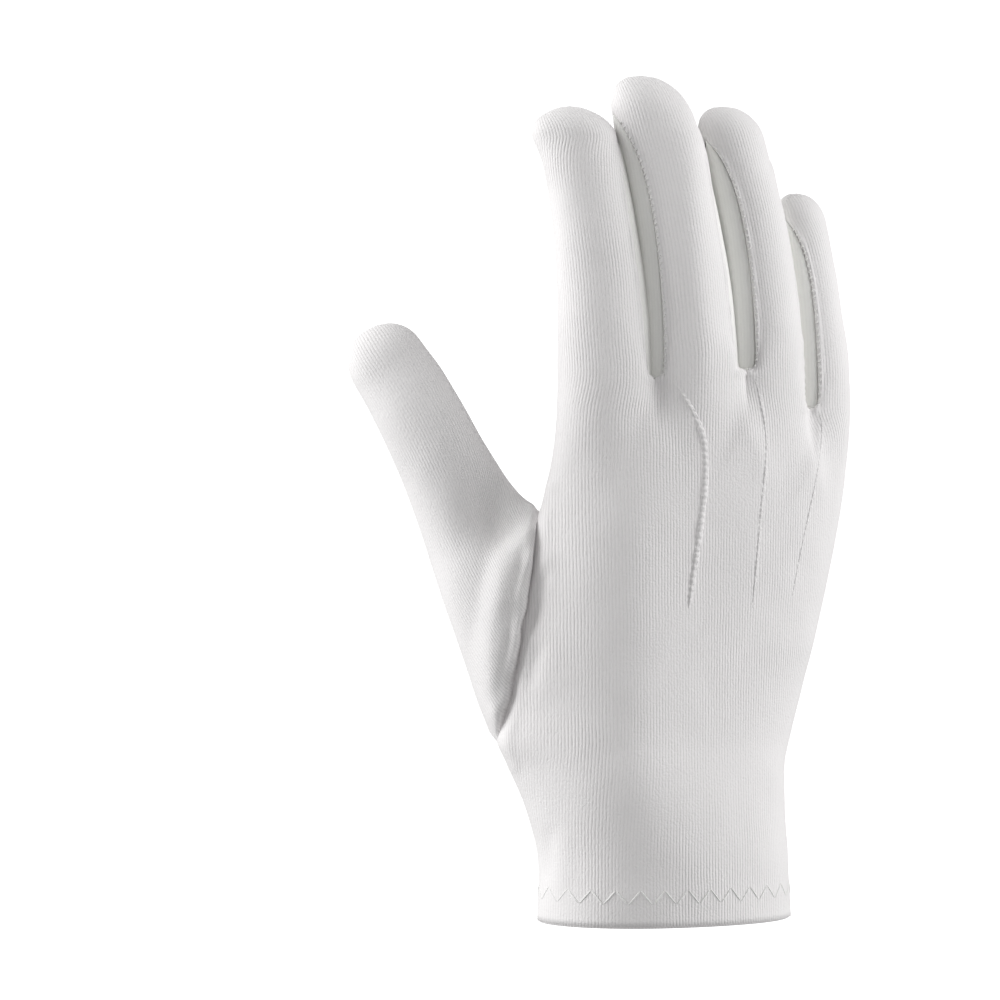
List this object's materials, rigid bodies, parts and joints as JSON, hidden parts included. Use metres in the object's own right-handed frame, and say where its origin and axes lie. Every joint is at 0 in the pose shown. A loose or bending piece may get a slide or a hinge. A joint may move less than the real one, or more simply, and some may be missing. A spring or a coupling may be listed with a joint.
{
  "type": "dress glove",
  "caption": "Right-hand white knitted cotton dress glove, filled out as on a hand, open at the wrist, with side strips, a set-in thumb and raised points on its back.",
  "frame": {"origin": "middle of the wrist opening, in the plane of the hem", "axes": "+Z from the hem to the fingertips, the back of the hand faces -Y and the palm +Y, the little finger is at +X and the thumb at -X"},
  "size_m": [0.1473, 0.056, 0.2445],
  "materials": {
    "cotton_stockinette": "bleached white cotton stockinette, fine vertical wales, matt",
    "side_strip_cotton": "the same cotton stockinette, in the strips between the fingers",
    "raised_point_cotton": "the same cotton, pinched into a narrow ridge and stitched",
    "hem_cotton": "the same cotton, inner face, turned up inside the wrist"
  },
  "bodies": {
    "root": {"trank": "cotton_stockinette", "thumb": "cotton_stockinette", "fourchette_index_middle": "side_strip_cotton", "fourchette_middle_ring": "side_strip_cotton", "fourchette_ring_little": "side_strip_cotton", "back_point_index": "raised_point_cotton", "back_point_middle": "raised_point_cotton", "back_point_ring": "raised_point_cotton", "cuff_hem": "hem_cotton"}
  },
  "joints": []
}
